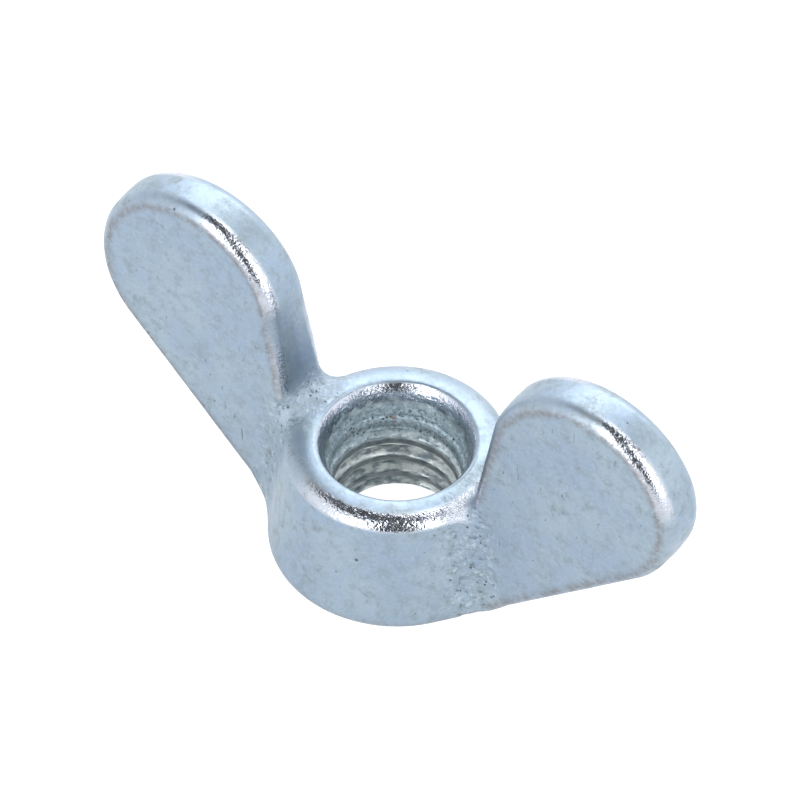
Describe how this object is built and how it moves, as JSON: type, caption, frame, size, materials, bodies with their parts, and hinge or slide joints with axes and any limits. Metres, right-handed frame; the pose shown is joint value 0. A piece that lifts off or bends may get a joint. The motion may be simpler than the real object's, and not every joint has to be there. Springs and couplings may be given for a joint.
{
  "type": "wing nut",
  "caption": "Forged steel wing nut with rounded wings, a conical hub and a right-hand tapped hole with a deep lead-in cone.",
  "frame": {"origin": "centre of the flat bearing face at the bottom of the hub", "axes": "+X along the span of the wings, +Y across their flat faces, +Z along the tapped hole, from the bearing face towards the wings' tops"},
  "size_m": [0.039, 0.0146, 0.0197],
  "materials": {
    "zinc_plated_steel": "satin bright zinc plating with clear-blue passivation over a forged surface"
  },
  "bodies": {
    "root": {"wing_nut": "zinc_plated_steel"}
  },
  "joints": []
}
